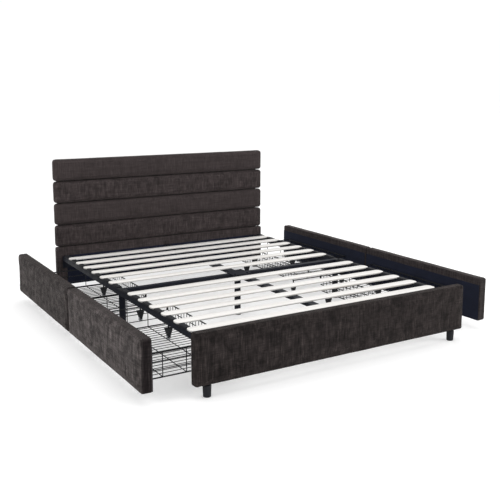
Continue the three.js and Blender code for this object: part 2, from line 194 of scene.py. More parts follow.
def chenille(name, side, end, ruffle, yarn, patch=(24, 24, 17), rib=(72, 72, 7), inner=None):
    """Dark brown-grey chenille: short crossing yarns, mottled pile and a soft sheen.

    Faces along X take the side tone and faces along Y the end tone, and a top face leans towards the
    side tone: a painted sheen and painted light from above. ruffle is how much the pile is brushed up
    into patches and ribs, which have those scales, and yarn is how much the single yarns stand out.
    With inner, a tone painting the shade on the faces turned to the bed's middle, only a drawer's
    outer face is brushed.
    """
    s = Shader(
        name,
        Roughness=0.92,
        Sheen_Weight=0.09,
        Sheen_Roughness=0.40,
        Sheen_Tint=(0.62, 0.56, 0.53, 1.0),
        Specular_IOR_Level=0.10,
    )
    (x, y, z), (nx, _, nz) = s.axes()
    sideways = s.math("ABSOLUTE", nx)

    warp = s.noise(170, 170, 14, detail=3.0, roughness=0.6)
    weft = s.noise(13, 13, 230, detail=3.0, roughness=0.6)
    fibre = s.noise(720, 720, 720, roughness=0.7)
    yarns = s.math("ADD", s.math("MULTIPLY", warp, 0.44), s.math("MULTIPLY", weft, 0.28))
    yarns = s.math("ADD", yarns, s.math("MULTIPLY", fibre, 0.28))
    tone = s.ramp(yarns, (0.36, 1 - 0.61 * yarn), (0.50, 0.98), (0.66, 1 + 1.06 * yarn))
    pile = s.ramp(
        s.noise(*patch, detail=4.0, roughness=0.66, distortion=0.4),
        (0.36, 1 - 0.38 * ruffle),
        (0.52, 1.0),
        (0.68, 1 + 0.20 * ruffle),
    )
    ribs = s.noise(*rib, detail=3.0, roughness=0.55)
    streak = s.ramp(ribs, (0.32, 1 - 0.22 * ruffle), (0.70, 1 + 0.20 * ruffle))
    slub = s.ramp(s.noise(6, 6, 60, detail=3.0, roughness=0.55), (0.34, 0.90), (0.68, 1.09))
    # Painted light: faces along X are painted in the side tone, a painted sheen, and top faces part way to
    # it, painted light from above.
    painted_top_light = s.math("MULTIPLY", s.math("MAXIMUM", nz, 0.0), 0.45)
    facing = s.ramp(s.math("ADD", sideways, painted_top_light), (0.12, end), (0.92, side))
    # With inner, only the outer face gets the pile and ribs, and the faces turned to the bed's middle get
    # the inner tone: painted shade.
    if inner:
        outside = s.math("GREATER_THAN", s.math("ABSOLUTE", x), FRONT_MIDDLE)
        brushed = s.math("MULTIPLY", outside, sideways)
        pile, streak = (s.mix(brushed, (1.0, 1.0, 1.0), layer) for layer in (pile, streak))
        facing = s.mix(s.math("SUBTRACT", sideways, brushed), facing, inner)
    s.colour(s.times(facing, tone, pile, streak, slub))

    # On upright faces the weave's rows run along the floor and up; on a top face, along both diagonals.
    upward = s.math("GREATER_THAN", s.math("ABSOLUTE", nz), 0.7)
    across = s.math("ADD", x, y)
    level = s.math("ADD", z, s.math("MULTIPLY", upward, s.math("SUBTRACT", x, y)))
    rows = s.math("ABSOLUTE", s.waves(across, WARP_PITCH))
    lines = s.math("ABSOLUTE", s.waves(level, WEFT_PITCH))
    weave = s.math("MULTIPLY", s.math("ADD", rows, lines), 0.3)
    s.bump(s.math("ADD", weave, yarns), strength=0.55, distance=0.0011)
    return s.material


def lining():
    """Navy non-woven lining with its grid of pressed dimples."""
    s = Shader(
        "lining", Roughness=0.9, Sheen_Weight=0.03, Sheen_Roughness=0.5, Specular_IOR_Level=0.12
    )
    (x, y, z), _ = s.axes()
    dimple = s.math("MULTIPLY", s.waves(s.math("ADD", x, y), DIMPLE_PITCH), s.waves(z, DIMPLE_PITCH))
    fibre = s.noise(300, 300, 240, detail=3.0, roughness=0.65)
    cloud = s.noise(9, 9, 11, detail=3.0, roughness=0.6)
    tone = s.ramp(fibre, (0.34, (0.0044, 0.0058, 0.0130)), (0.68, (0.0102, 0.0128, 0.0265)))
    s.colour(s.times(tone, s.ramp(cloud, (0.35, 0.82), (0.65, 1.12))))
    s.bump(s.math("ADD", s.math("MULTIPLY", dimple, 0.5), fibre), strength=0.35, distance=0.0005)
    return s.material


def coated_steel(name, dark, light, rough):
    """Powder coat: fine orange peel, faint dust and slightly brighter rubbed places."""
    s = Shader(name, Metallic=0.0, Specular_IOR_Level=0.13)
    dust = s.noise(26, 26, 26, detail=4.0, roughness=0.65)
    s.colour(s.ramp(dust, (0.30, dark), (0.72, light)))
    s.roughness(s.ramp(dust, (0.30, rough - 0.07), (0.70, rough + 0.12)))
    s.bump(s.noise(900, 900, 900), strength=0.22, distance=0.0004)
    return s.material


def birch():
    """Pale lacquered birch with long grain, fine pores and the plies on its edges."""
    s = Shader("birch", Roughness=0.46, Coat_Weight=0.12, Coat_Roughness=0.35)
    (_, _, z), (_, _, nz) = s.axes()
    grain = s.noise(2.4, 95, 40, detail=4.0, roughness=0.55, distortion=0.6)
    pores = s.noise(14, 800, 400, roughness=0.7)
    board = s.noise(0.7, 9.5, 1.0, detail=1.0, roughness=0.4)
    tone = s.ramp(
        grain,
        (0.30, (0.690, 0.652, 0.610)),
        (0.48, (0.785, 0.764, 0.738)),
        (0.70, (0.835, 0.820, 0.800)),
    )
    pored = s.ramp(pores, (0.30, 0.93), (0.46, 1.0))
    tone = s.times(tone, pored, s.ramp(board, (0.35, 0.955), (0.65, 1.0)))
    edge = s.math("LESS_THAN", s.math("ABSOLUTE", nz), 0.5)
    plies = s.ramp(s.waves(z, PLY_PITCH), (0.0, 0.80), (0.9, 0.52))
    s.colour(s.mix(edge, tone, s.times(tone, plies)))
    s.bump(s.math("ADD", grain, pores), strength=0.10, distance=0.0004)
    return s.material


def moulded():
    """Matt black moulded plastic with a spark-eroded skin."""
    s = Shader("moulded_plastic", Specular_IOR_Level=0.17)
    wear = s.noise(40, 40, 40, detail=3.0, roughness=0.6)
    s.colour(s.ramp(wear, (0.30, (0.0075, 0.0078, 0.0100)), (0.72, (0.0160, 0.0165, 0.0200))))
    s.roughness(s.ramp(wear, (0.30, 0.50), (0.70, 0.66)))
    s.bump(s.noise(1300, 1300, 1300, roughness=0.6), strength=0.28, distance=0.0003)
    return s.material


def nylon():
    """Pale grey wheel plastic, a little dusty."""
    s = Shader("nylon")
    dust = s.noise(120, 120, 120, detail=3.0, roughness=0.6)
    s.colour(s.ramp(dust, (0.30, (0.30, 0.31, 0.33)), (0.70, (0.48, 0.49, 0.51))))
    s.roughness(s.ramp(dust, (0.30, 0.42), (0.70, 0.60)))
    s.bump(dust, strength=0.15, distance=0.0003)
    return s.material


def zinc():
    """The staples' zinc plating, cloudy and part dulled."""
    s = Shader("zinc", Metallic=1.0)
    patch = s.noise(160, 160, 160, detail=3.0, roughness=0.6)
    s.colour(s.ramp(patch, (0.30, (0.40, 0.41, 0.43)), (0.70, (0.66, 0.67, 0.69))))
    s.roughness(s.ramp(patch, (0.30, 0.28), (0.70, 0.45)))
    s.bump(patch, strength=0.12, distance=0.0003)
    return s.material


MATERIALS = {
    "plain_chenille": chenille("plain_chenille", HEAD_TONE, HEAD_TONE, ruffle=0.30, yarn=0.45),
    "slub_chenille": chenille("slub_chenille", HEAD_TONE, HEAD_TONE, ruffle=0.75, yarn=0.80),
    "foot_chenille": chenille(
        "foot_chenille",
        FOOT_TONE,
        FOOT_TONE,
        ruffle=1.2,
        yarn=1.35,
        patch=(20, 20, 22),
        rib=(60, 60, 13),
    ),
    "lining": lining(),
    "steel": coated_steel("steel_coat", (0.0040, 0.0049, 0.0092), (0.0085, 0.0099, 0.0165), 0.50),
    "wire": coated_steel("wire_coat", (0.0050, 0.0052, 0.0065), (0.0120, 0.0124, 0.0145), 0.38),
    "wood": birch(),
    "plastic": moulded(),
    "nylon": nylon(),
    "zinc": zinc(),
}
# One material for each drawer front, each with its own painted light and shade.
for drawer, (side, end, ruffle) in FRONTS.items():
    fabric = "front_chenille_" + drawer
    MATERIALS[fabric] = chenille(
        fabric, side, end, ruffle, yarn=1.3, patch=(24, 16, 27), rib=(40, 52, 9), inner=INNER_PAINTED_SHADE
    )


# ---------------------------------------------------------------- mesh helpers


def mesh_of(bm, name):
    mesh = bpy.data.meshes.new(name)
    bm.normal_update()
    bm.to_mesh(mesh)
    bm.free()
    return mesh


def mesh_facing_out(bm, name):
    bmesh.ops.recalc_face_normals(bm, faces=bm.faces[:])
    return mesh_of(bm, name)


def moved_copy(mesh, place):
    mesh = mesh.copy()
    mesh.transform(place)
    return mesh


def show(name, mesh, body, slot, material=None, replaces=(), smooth=40):
    """A finished piece: coloured, named and riding on its body.

    Edges sharper than smooth, in degrees, stay sharp.
    """
    piece = bpy.data.objects.new(name, mesh)
    bpy.context.scene.collection.objects.link(piece)
    mesh.materials.clear()
    mesh.materials.append(MATERIALS[material or slot])
    mesh.set_sharp_from_angle(angle=math.radians(smooth))
    for polygon in mesh.polygons:
        polygon.use_smooth = True
    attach(piece, body)
    if replaces:
        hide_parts(*replaces)
    return piece


def slab(bm, low, high, radius, segments=3):
    """A box between two corners with all its edges rounded."""
    low, high = Vector(low), Vector(high)
    made = bmesh.ops.create_cube(bm, size=1.0)["verts"]
    for vertex in made:
        vertex.co = (low + high) / 2 + vertex.co * (high - low)
    edges = list({edge for vertex in made for edge in vertex.link_edges})
    bmesh.ops.bevel(
        bm, geom=made + edges, offset=radius, segments=segments, profile=0.5, affect="EDGES"
    )


def skin(bm, rings):
    """Walls between closed rings of equally many vertices, and a cap on the first and last."""
    for a, b in zip(rings, rings[1:]):
        for k in range(len(a)):
            n = (k + 1) % len(a)
            bm.faces.new((a[k], a[n], b[n], b[k]))
    bm.faces.new(list(reversed(rings[0])))
    bm.faces.new(rings[-1])


MITRE_WIDENING = 1.2


def tube(bm, points, radius, sides=10):
    """A round bar along a line of points, capped at both ends and a little wider at its mitres."""
    points = [Vector(p) for p in points]
    rings = []
    side = None
    for i, point in enumerate(points):
        ahead = (points[min(i + 1, len(points) - 1)] - point).normalized()
        behind = (point - points[max(i - 1, 0)]).normalized()
        along = (ahead + behind).normalized()
        if side is None:
            side = along.orthogonal().normalized()
        side = (side - along * side.dot(along)).normalized()
        up = along.cross(side)
        mitre = along.dot(ahead) if ahead.length else 1.0
        reach = radius / max(mitre, 1 / MITRE_WIDENING)
        ring = []
        for k in range(sides):
            turn = 2 * math.pi * k / sides
            ring.append(bm.verts.new(point + (side * math.cos(turn) + up * math.sin(turn)) * reach))
        rings.append(ring)
    skin(bm, rings)


def bent(points, radius, steps=5):
    """The points of a bar with every inner corner bent to a radius."""
    points = [Vector(p) for p in points]
    line = [points[0]]
    for before, corner, after in zip(points, points[1:], points[2:]):
        a = corner + (before - corner).normalized() * radius
        b = corner + (after - corner).normalized() * radius
        for i in range(steps + 1):
            t = i / steps
            line.append(a * (1 - t) ** 2 + corner * 2 * t * (1 - t) + b * t**2)
    line.append(points[-1])
    return line


TURN_UPRIGHT_TO = {
    "X": Matrix.Rotation(math.radians(90), 3, "Y"),
    "Y": Matrix.Rotation(math.radians(-90), 3, "X"),
    "Z": Matrix.Identity(3),
}


def lathe(bm, profile, centre, axis="Z", segments=40):
    """A turned solid from (radius, along) pairs whose first and last radius are 0."""
    centre = Vector(centre)
    rings = []
    for radius, along in profile:
        ring = []
        for k in range(segments if radius else 1):
            turn = 2 * math.pi * k / segments
            point = Vector((radius * math.cos(turn), radius * math.sin(turn), along))
            ring.append(bm.verts.new(TURN_UPRIGHT_TO[axis] @ point + centre))
        rings.append(ring)
    for a, b in zip(rings, rings[1:]):
        for k in range(segments):
            n = (k + 1) % segments
            if len(a) == 1:
                bm.faces.new((a[0], b[n], b[k]))
            elif len(b) == 1:
                bm.faces.new((a[k], a[n], b[0]))
            else:
                bm.faces.new((a[k], a[n], b[n], b[k]))


# A button head with a hexagon-key recess, as (radius, height) in head radii.
BOLT_HEAD = (
    (0, -0.1), (1, -0.1), (1, 0.15), (0.86, 0.46), (0.62, 0.64), (0.45, 0.62), (0.42, 0.25), (0, 0.25)
)


def bolt(bm, centre, radius, axis="Z", out=1):
    """A button-head bolt, its head pointing out along the axis: 1 forwards, -1 backwards."""
    profile = [(radius * wide, radius * high * out) for wide, high in BOLT_HEAD]
    lathe(bm, profile[::out], centre, axis, segments=20)


# ---------------------------------------------------------------- upholstery

VOXEL = 0.0065
# Points this close to a pad's back are held while the solver runs, for this many frames.
PINNED_DEPTH = 1.2 * VOXEL
CLOTH_FRAMES = 20
# The share of a move towards the pad's middle that is kept.
SINKING = 0.15
# Creases per metre, broad and fine, and how deep the fine ones are beside the broad ones.
BROAD_CREASES, FINE_CREASES, FINE_SHARE = 9, Vector((30, 30, 46)), 0.4


def evaluated_mesh(piece):
    graph = bpy.context.evaluated_depsgraph_get()
    graph.update()
    return bpy.data.meshes.new_from_object(piece.evaluated_get(graph), depsgraph=graph)


def remeshed_core(name, low, high, edge, back):
    """A slab in even voxels, rounded by edge except round its back, its high side along that axis."""
    beyond = high.copy()
    beyond[back] += edge
    bm = bmesh.new()
    slab(bm, low, beyond, edge, 5)
    for vertex in bm.verts:
        vertex.co[back] = min(max(vertex.co[back], low[back]), high[back])
    bmesh.ops.remove_doubles(bm, verts=bm.verts[:], dist=1e-5)
    core = bpy.data.objects.new(name + "_core", mesh_of(bm, name + "_core"))
    bpy.context.scene.collection.objects.link(core)
    remesh = core.modifiers.new("remesh", "REMESH")
    remesh.mode = "VOXEL"
    remesh.voxel_size = VOXEL
    mesh = evaluated_mesh(core)
    bpy.data.objects.remove(core)
    return mesh


def blown_up(name, mesh, pinned):
    """Where the cloth solver takes the mesh's points under pressure, with the pinned ones held."""
    pad = bpy.data.objects.new(name + "_cloth", mesh.copy())
    bpy.context.scene.collection.objects.link(pad)
    pad.vertex_groups.new(name="pin").add(pinned, 1.0, "REPLACE")
    cloth = pad.modifiers.new("cloth", "CLOTH")
    cloth.settings.quality = 4
    cloth.settings.mass = 0.3
    cloth.settings.tension_stiffness = 22
    cloth.settings.compression_stiffness = 22
    cloth.settings.shear_stiffness = 8
    cloth.settings.bending_stiffness = 1.5
    cloth.settings.use_pressure = True
    cloth.settings.uniform_pressure_force = 4
    cloth.settings.vertex_group_mass = "pin"
    cloth.settings.effector_weights.gravity = 0
    cloth.point_cache.frame_start = 1
    cloth.point_cache.frame_end = CLOTH_FRAMES
    for number in range(1, CLOTH_FRAMES + 1):
        bpy.context.scene.frame_set(number)
    blown = evaluated_mesh(pad)
    moved = [v.co.copy() for v in blown.vertices]
    bpy.data.objects.remove(pad)
    bpy.data.meshes.remove(blown)
    bpy.context.scene.frame_set(1)
    return moved


def swollen(name, low, high, edge, shrink, cap, back):
    """Foam under tight fabric: the cloth solver blows up a slightly smaller slab, whose back stays flat.

    The back is the high side along that axis. Every point moves by at most cap, and hardly inwards.
    """
    margin = Vector((shrink, shrink, shrink))
    inner_low, inner_high = Vector(low) + margin, Vector(high) - margin
    inner_high[back] = high[back]
    mesh = remeshed_core(name, inner_low, inner_high, edge, back)

    rest = [v.co.copy() for v in mesh.vertices]
    pinned = [i for i, co in enumerate(rest) if abs(co[back] - high[back]) < PINNED_DEPTH]
    middle = (Vector(low) + Vector(high)) / 2
    for vertex, before, after in zip(mesh.vertices, rest, blown_up(name, mesh, pinned)):
        step = after - before
        if step.length > cap:
            step = step.normalized() * cap
        for axis in (X, Y, Z):
            if step[axis] * (before[axis] - middle[axis]) < 0:
                step[axis] *= SINKING
        vertex.co = before + step
    return mesh


def softened(mesh, low, high, back, slack, seed, wrinkle=0.0007):
    """One subdivision, then shallow creases from the noise.

    The piece stays between low and high, apart from its face, which may stand out by slack.
    """
    bm = bmesh.new()
    bm.from_mesh(mesh)
    bmesh.ops.subdivide_edges(bm, edges=bm.edges[:], cuts=1, use_grid_fill=True, smooth=1.0)
    bmesh.ops.smooth_vert(
        bm, verts=bm.verts[:], factor=0.5, use_axis_x=True, use_axis_y=True, use_axis_z=True
    )
    bm.normal_update()
    offset = Vector((seed * 3.1, seed * 1.7, seed * 0.9))
    for vertex in bm.verts:
        broad = noise.noise(vertex.co * BROAD_CREASES + offset)
        fine = noise.noise(vertex.co * FINE_CREASES + offset)
        vertex.co += vertex.normal * (broad + fine * FINE_SHARE) * wrinkle
    lowest = Vector(low)
    lowest[back] -= slack
    for vertex in bm.verts:
        for axis in (X, Y, Z):
            vertex.co[axis] = min(max(vertex.co[axis], lowest[axis]), high[axis])
    bm.to_mesh(mesh)
    bm.free()


def show_padded(name, mesh, body, material, node):
    piece = show(name, mesh, body, "fabric", material, replaces=(node,), smooth=180)


# A lining lies this far off its board, and rises to its full bulge within the rim.
LINING_LIFT = 0.0012
LINING_THICKNESS = 0.0009
LINING_RIM = 0.017857


def lining_sheet(low, high, flat_axis, out, bulge, step):
    """A stretched sheet of lining cloth with its rim pulled down and faint waves between its staples."""
    a, b = (axis for axis in (X, Y, Z) if axis != flat_axis)
    size = high - low
    rows, columns = (max(4, round(size[axis] / step)) for axis in (a, b))
    bm = bmesh.new()
    grid = []
    for i in range(rows + 1):
        line = []
        for j in range(columns + 1):
            point = Vector((0, 0, 0))
            point[a] = low[a] + i / rows * size[a]
            point[b] = low[b] + j / columns * size[b]
            to_edge = min(min(point[axis] - low[axis], high[axis] - point[axis]) for axis in (a, b))
            rim = min(1.0, to_edge / LINING_RIM)
            wave = noise.noise(point * 7) * 0.5 + noise.noise(point * 19) * 0.25
            point[flat_axis] = low[flat_axis] + out * (LINING_LIFT + bulge * rim * (0.4 + wave))
            line.append(bm.verts.new(point))
        grid.append(line)
    for near, far in zip(grid, grid[1:]):
        for k in range(columns):
            bm.faces.new((near[k], far[k], far[k + 1], near[k + 1]))
    bmesh.ops.recalc_face_normals(bm, faces=bm.faces[:])
    if sum(face.normal[flat_axis] for face in bm.faces) * out < 0:
        bmesh.ops.reverse_faces(bm, faces=bm.faces[:])
    for element in bmesh.ops.extrude_face_region(bm, geom=bm.faces[:])["geom"]:
        if isinstance(element, bmesh.types.BMVert):
            element.co[flat_axis] -= out * LINING_THICKNESS
    return bm


def show_lining(
    name,
    low,
    high,
    flat_axis,
    out,
    body="frame",
    replaces=(),
    place=Matrix(),
    bulge=0.0012,
    step=0.012,
):
    """A sheet of lining between two corners, stretched over the piece under it."""
    mesh = mesh_facing_out(lining_sheet(low, high, flat_axis, out, bulge, step), name)
    mesh.transform(place)
    sheet = show(name, mesh, body, "lining", replaces=replaces, smooth=60)


# ---------------------------------------------------------------- headboard

# The open line between two channels, and how far their ends may swell past the CAD's.
CREVICE = 0.0044
TOP_CLEARANCE = 0.0001
END_BULGE = 0.003
# The fabric round the back board reaches past its sides, and leaves room for the lining behind it.
WRAP_REACH = 0.010
LINING_ROOM = 0.0026
BACK_BORDER = 0.034
STAPLE_DROP, STAPLE_INSET = 0.0010, 0.007
STAPLES_ACROSS, STAPLES_UP = 26, 13
STAPLE_LENGTH, STAPLE_THICKNESS, STAPLE_WIDTH = 0.0100, 0.0006, 0.0014


def build_channels():
    """The four channels share one swollen shape, every second one mirrored, with their own creases."""
    first_low, first_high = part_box("headboard_channel_1")
    first = swollen(
        "headboard_channel_mesh", first_low, first_high, edge=0.021, shrink=0.0016, cap=0.0050, back=Y
    )
    for i in range(1, 5):
        node = f"headboard_channel_{i}"
        low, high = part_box(node)
        mesh = first.copy()
        if i % 2 == 0:
            mesh.transform(Matrix.Scale(-1, 4, (1, 0, 0)))
            mesh.flip_normals()
        mesh.transform(Matrix.Translation(low - first_low))
        above = TOP_CLEARANCE if i == 1 else CREVICE / 2
        limits = (low + Vector((-END_BULGE, 0, CREVICE / 2)), high + Vector((END_BULGE, 0, -above)))
        softened(mesh, *limits, back=Y, slack=0.004, seed=i)
        material = "slub_chenille" if i % 2 == 0 else "plain_chenille"
        show_padded(f"headboard_cushion_{i}", mesh, "frame", material, node)


def build_lower_panel():
    low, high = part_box("headboard_lower_panel")
    mesh = swollen("lower_panel_mesh", low, high, edge=0.006, shrink=0.0012, cap=0.0016, back=Y)
    softened(mesh, low, high, back=Y, slack=0.001, seed=7, wrinkle=0.0004)
    show_padded("headboard_lower_cushion", mesh, "frame", "slub_chenille", "headboard_lower_panel")

    inset_low, inset_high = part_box("headboard_lower_lining")
    front = low.y - LINING_LIFT
    show_lining(
        "headboard_lower_lining_cloth",
        Vector((inset_low.x, front, inset_low.z)),
        Vector((inset_high.x, front, inset_high.z)),
        Y,
        -1,
        replaces=("headboard_lower_lining",),
    )


def staple(bm, centre, along):
    """One flat staple crown lying on the headboard's back, along X or Z."""
    half = Vector((STAPLE_WIDTH, STAPLE_THICKNESS, STAPLE_WIDTH)) / 2
    half[along] = STAPLE_LENGTH / 2
    slab(bm, centre - half, centre + half, 0.0002, 1)


def build_headboard_back():
    """The wrapped board, the lining over its back and the staples round the lining."""
    low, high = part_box("headboard_back_board")
    back = high.y - LINING_ROOM
    bm = bmesh.new()
    slab(bm, (low.x - WRAP_REACH, low.y, low.z), (high.x + WRAP_REACH, back, high.z), 0.0045, 4)
    show(
        "headboard_back_wrap",
        mesh_of(bm, "back_wrap"),
        "frame",
        "fabric",
        "plain_chenille",
        replaces=("headboard_back_board",),
    )

    cloth_low = Vector((low.x + BACK_BORDER, back, low.z + BACK_BORDER))
    cloth_high = Vector((high.x - BACK_BORDER, back, high.z - BACK_BORDER))
    show_lining(
        "headboard_back_cloth",
        cloth_low,
        cloth_high,
        Y,
        1,
        bulge=0.0008,
        step=0.02,
    )

    bm = bmesh.new()
    inset = Vector((STAPLE_INSET, 0, STAPLE_INSET))
    low, size = cloth_low + inset, cloth_high - cloth_low - 2 * inset
    low.y = high.y - STAPLE_DROP
    for along, across, count in ((X, Z, STAPLES_ACROSS), (Z, X, STAPLES_UP)):
        for k in range(count):
            for end in (0, 1):
                centre = low.copy()
                centre[along] += (k + 0.5) / count * size[along]
                centre[across] += end * size[across]
                staple(bm, centre, along)
    show("headboard_back_staples", mesh_of(bm, "back_staples"), "frame", "steel", "zinc")


# ---------------------------------------------------------------- footboard and drawer fronts

# The fabric's border round a board's lining, wider along the top.
BORDER, TOP_BORDER = 0.006, 0.042


def build_footboard():
    low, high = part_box("footboard_pad")
    mesh = swollen("footboard_mesh", low, high, edge=0.010, shrink=0.0022, cap=0.0045, back=Y)
    softened(mesh, low, high, back=Y, slack=0.003, seed=11)
    show_padded("footboard_cushion", mesh, "frame", "foot_chenille", "footboard_pad")
    show_lining(
        "footboard_lining_cloth",
        Vector((low.x + BORDER, high.y, low.z + BORDER)),
        Vector((high.x - BORDER, high.y, high.z - TOP_BORDER)),
        Y,
        1,
        replaces=("footboard_board",),
    )


# A drawer is built once, in its own frame: u inwards from the front's outer face, v along the front
# from its first end, and z up from the floor.

pad_low, pad_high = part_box("drawer_pad_foot_left")
FRONT_DEPTH = pad_high.x - pad_low.x
FRONT_LENGTH = pad_high.y - pad_low.y
FRONT_BOTTOM, FRONT_TOP = pad_low.z, pad_high.z

BASKET_START, BASKET_END = 0.081, 0.801
BASKET_FRONT, BASKET_BACK = FRONT_DEPTH + 0.0038, 0.505
BASKET_BOTTOM, BASKET_TOP = 0.092, 0.210
BASKET_ROWS = (0.131, 0.170)
LONG_WIRES = (0.142, 0.263, 0.384)
CROSS_PITCH = 0.0343
FRAME_WIRE, ROD, FINE = 0.0036, 0.0024, 0.0019
FRAME_BEND, WIRE_BEND = 0.009, 0.006
# How deep a wire sinks into the one it is welded to.
SIDE_WELD, TOP_WELD, FLOOR_WELD = 0.001, 0.002, 0.0003
# A clip on each back corner, from that corner of the top wire.
CLIP_LOW, CLIP_HIGH = Vector((-0.0075, -0.0055, -0.040)), Vector((0.0035, 0.0055, -0.014))

CASTER_U, CASTER_V = (0.087, 0.505), (0.171, 0.795)
CHEEK_NEAR, CHEEK_FAR = 0.0068, 0.0122
# One edge of a cheek, from its tip up, as (distance from its middle, height).
CHEEK_EDGE = (
    (0.0024, 0.0078), (0.0048, 0.0095), (0.0062, 0.017), (0.0095, 0.026), (0.0195, 0.058), (0.020, 0.064)
)
# The bridge and the flange, from the point of the floor under the caster's middle.
BRIDGE_LOW, BRIDGE_HIGH = Vector((-0.0130, -0.0070, 0.0290)), Vector((0.0130, 0.0070, 0.0635))
FLANGE_LOW, FLANGE_HIGH = Vector((-0.0215, -0.0135, 0.0610)), Vector((0.0215, 0.0135, 0.0665))
# The stem and its collar, as (radius, height).
STEM = ((0, 0.0600), (0.0046, 0.0600), (0.0046, 0.0915), (0.0066, 0.0925), (0.0066, 0.0945), (0, 0.0952))

WHEEL_RADIUS, WHEEL_HALF = 0.013, 0.005
# From the hub to the middle of the tread, as shares of the wheel's radius and half width.
WHEEL_PROFILE = (
    (0, 0.55), (0.30, 0.55), (0.36, 0.9), (0.50, 0.9), (0.56, 0.55),
    (0.78, 0.55), (0.84, 0.98), (0.93, 0.86), (0.985, 0.55), (1, 0),
)
PIN_HALF, PIN_RADIUS, PIN_TIP = 0.0128, 0.0030, 0.0022
PIN_SHOULDER = 0.0122


def drawer_matrix(name):
    """From a drawer's own frame to the whole object's."""
    low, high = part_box("drawer_pad_" + name)
    if name.endswith("left"):
        return Matrix.Translation((low.x, low.y, 0))
    return Matrix.Translation((high.x, high.y, 0)) @ Matrix.Rotation(math.pi, 4, "Z")


def basket_mesh():
    """The welded basket: thick frame wires, bent rods and a close floor mesh."""
    bm = bmesh.new()
    u0, u1, v0, v1 = BASKET_FRONT, BASKET_BACK, BASKET_START, BASKET_END
    middle = (v0 + v1) / 2
    for z in (BASKET_BOTTOM, BASKET_TOP):
        loop = [(u0, middle, z), (u0, v0, z), (u1, v0, z), (u1, v1, z), (u0, v1, z), (u0, middle, z)]
        tube(bm, bent(loop, FRAME_BEND), FRAME_WIRE, sides=12)
    for z in BASKET_ROWS:
        tube(bm, bent([(u0, v0, z), (u1, v0, z), (u1, v1, z), (u0, v1, z)], FRAME_BEND), ROD)

    top = BASKET_TOP - TOP_WELD
    start, end = v0 + SIDE_WELD, v1 - SIDE_WELD
    for u in LONG_WIRES:
        wire = [(u, start, top), (u, start, BASKET_BOTTOM), (u, end, BASKET_BOTTOM), (u, end, top)]
        tube(bm, bent(wire, WIRE_BEND), ROD)
    start, end = u0 + SIDE_WELD, u1 - SIDE_WELD
    floor = BASKET_BOTTOM + ROD + FINE - FLOOR_WELD
    count = round((v1 - v0) / CROSS_PITCH)
    for k in range(1, count):
        v = v0 + k * (v1 - v0) / count
        wire = [(start, v, top), (start, v, floor), (end, v, floor), (end, v, top)]
        tube(bm, bent(wire, WIRE_BEND), FINE, sides=8)

    for v in (v0, v1):
        corner = Vector((u1, v, BASKET_TOP))
        slab(bm, corner + CLIP_LOW, corner + CLIP_HIGH, 0.003)
    return mesh_of(bm, "basket")


def fork_mesh():
    """The four tapered plastic casters: two cheeks, a bridge over the wheel, a flange and a stem."""
    outline = [(-wide, z) for wide, z in reversed(CHEEK_EDGE)] + list(CHEEK_EDGE)
    bm = bmesh.new()
    for u in CASTER_U:
        for v in CASTER_V:
            for side in (-1, 1):
                walls = (v + side * CHEEK_NEAR, v + side * CHEEK_FAR)
                skin(bm, [[bm.verts.new((u + wide, wall, z)) for wide, z in outline] for wall in walls])
            foot = Vector((u, v, 0))
            slab(bm, foot + BRIDGE_LOW, foot + BRIDGE_HIGH, 0.001, 2)
            slab(bm, foot + FLANGE_LOW, foot + FLANGE_HIGH, 0.0015)
            lathe(bm, STEM, foot, segments=20)
    return mesh_facing_out(bm, "forks")


def wheel_mesh(u):
    """Two small wheels with rounded tyres and dished hubs, each on its own short pin."""
    half = [(WHEEL_RADIUS * wide, WHEEL_HALF * along) for wide, along in WHEEL_PROFILE]
    wheel = half + [(radius, -along) for radius, along in reversed(half[:-1])]
    half = [(0, PIN_HALF), (PIN_TIP, PIN_HALF), (PIN_RADIUS, PIN_SHOULDER)]
    pin = [(radius, -along) for radius, along in half] + half[::-1]
    bm = bmesh.new()
    for v in CASTER_V:
        lathe(bm, wheel, (u, v, WHEEL_RADIUS), "Y")
        lathe(bm, pin, (u, v, WHEEL_RADIUS), "Y", segments=16)
    return mesh_facing_out(bm, "wheels")


def build_drawers():
    """The four fronts share one swollen shape, two of them mirrored, with their own creases."""
    low, high = Vector((0, 0, FRONT_BOTTOM)), Vector((FRONT_DEPTH, FRONT_LENGTH, FRONT_TOP))
    pad = swollen("drawer_front_mesh", low, high, edge=0.013, shrink=0.0018, cap=0.0048, back=X)
    mirror = Matrix.Translation((0, FRONT_LENGTH, 0)) @ Matrix.Scale(-1, 4, (0, 1, 0))
    basket, forks = basket_mesh(), fork_mesh()
    wheels = {place: wheel_mesh(u) for place, u in zip(("outer", "inner"), CASTER_U)}
    cloth_low = Vector((FRONT_DEPTH, BORDER, FRONT_BOTTOM + BORDER))
    cloth_high = Vector((FRONT_DEPTH, FRONT_LENGTH - BORDER, FRONT_TOP - TOP_BORDER))

    for i, name in enumerate(DRAWERS):
        place, body, front = drawer_matrix(name), "drawer_" + name, "front_cushion_" + name
        mesh = pad.copy()
        if name in ("head_left", "foot_right"):
            mesh.transform(mirror)
            mesh.flip_normals()
        softened(mesh, low, high, back=X, slack=0.003, seed=20 + i)
        mesh.transform(place)
        show_padded(front, mesh, body, "front_chenille_" + name, "drawer_pad_" + name)
        show_lining(
            "front_lining_" + name,
            cloth_low,
            cloth_high,
            X,
            1,
            body=body,
            replaces=("drawer_board_" + name,),
            place=place,
        )
        show(
            "wire_basket_" + name,
            moved_copy(basket, place),
            body,
            "wire",
            replaces=("drawer_basket_" + name,),
            smooth=60,
        )
        show("caster_forks_" + name, moved_copy(forks, place), body, "plastic", smooth=35)
        for end, wheel in wheels.items():
            show(
                f"caster_wheels_{end}_{name}",
                moved_copy(wheel, place),
                f"wheels_{end}_{name}",
                "plastic",
                "nylon",
                replaces=(f"drawer_wheels_{end}_{name}",),
            )


# ---------------------------------------------------------------- slats and their holders

